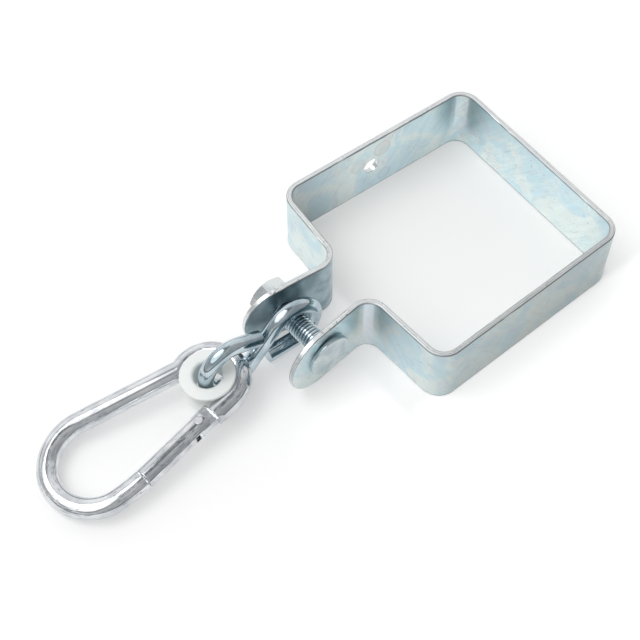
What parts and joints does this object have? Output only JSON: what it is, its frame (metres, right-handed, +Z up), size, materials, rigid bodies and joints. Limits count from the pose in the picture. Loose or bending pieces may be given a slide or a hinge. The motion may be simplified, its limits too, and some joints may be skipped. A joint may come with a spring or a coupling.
{
  "type": "square-beam swing hook",
  "caption": "Bent steel strap that clamps round a square beam, with a bolt through its ears, an S-shaped wire link and a spring snap hook with a plastic bushing.",
  "frame": {"origin": "middle of the square beam socket, on the plane that the strap's lower edge rests on", "axes": "+X from the ears to the back of the strap, +Y to the wall with the screw hole, +Z up along the beam"},
  "size_m": [0.2598, 0.1106, 0.032],
  "materials": {
    "zinc_strip": "blue-passivated zinc plating on rolled strip",
    "zinc_bolt": "zinc plating",
    "zinc_wire": "bright blue-white zinc plating",
    "bright_zinc": "bright zinc plating",
    "steel_pin": "plain steel",
    "spring_steel": "drawn wire",
    "plastic": "translucent natural white nylon"
  },
  "bodies": {
    "clamp": {"strap": "zinc_strip", "pivot_bolt": "zinc_bolt", "nut": "zinc_bolt"},
    "link": {"s_link": "zinc_wire"},
    "bushing": {"bushing": "plastic"},
    "hook": {"hook_body": "bright_zinc"},
    "gate": {"gate": "bright_zinc", "gate_pin": "steel_pin", "gate_plunger": "steel_pin", "gate_spring": "spring_steel"}
  },
  "joints": [
    {"name": "link_swing", "type": "hinge", "parent": "clamp", "child": "link", "pos_m": [-0.0813, 0, 0.016], "axis": [-0.0698, 0.9976, 0], "range_deg": [-90, 90]},
    {"name": "hook_tilt", "type": "hinge", "parent": "link", "child": "bushing", "pos_m": [-0.11589, 0.003, 0.0157], "axis": [0, 1, 0], "range_deg": [-45, 60]},
    {"name": "hook_swing", "type": "hinge", "parent": "bushing", "child": "hook", "pos_m": [-0.12594, 0.004, 0.01266], "axis": [-0.1044, 0, 0.9945], "range_deg": [-60, 60]},
    {"name": "gate_hinge", "type": "hinge", "parent": "hook", "child": "gate", "pos_m": [-0.14046, -0.01032, 0.01113], "axis": [0.1044, 0, -0.9945], "range_deg": [0, 28], "stiffness_Nm_per_rad": 0.15, "springref_deg": -17.19}
  ]
}
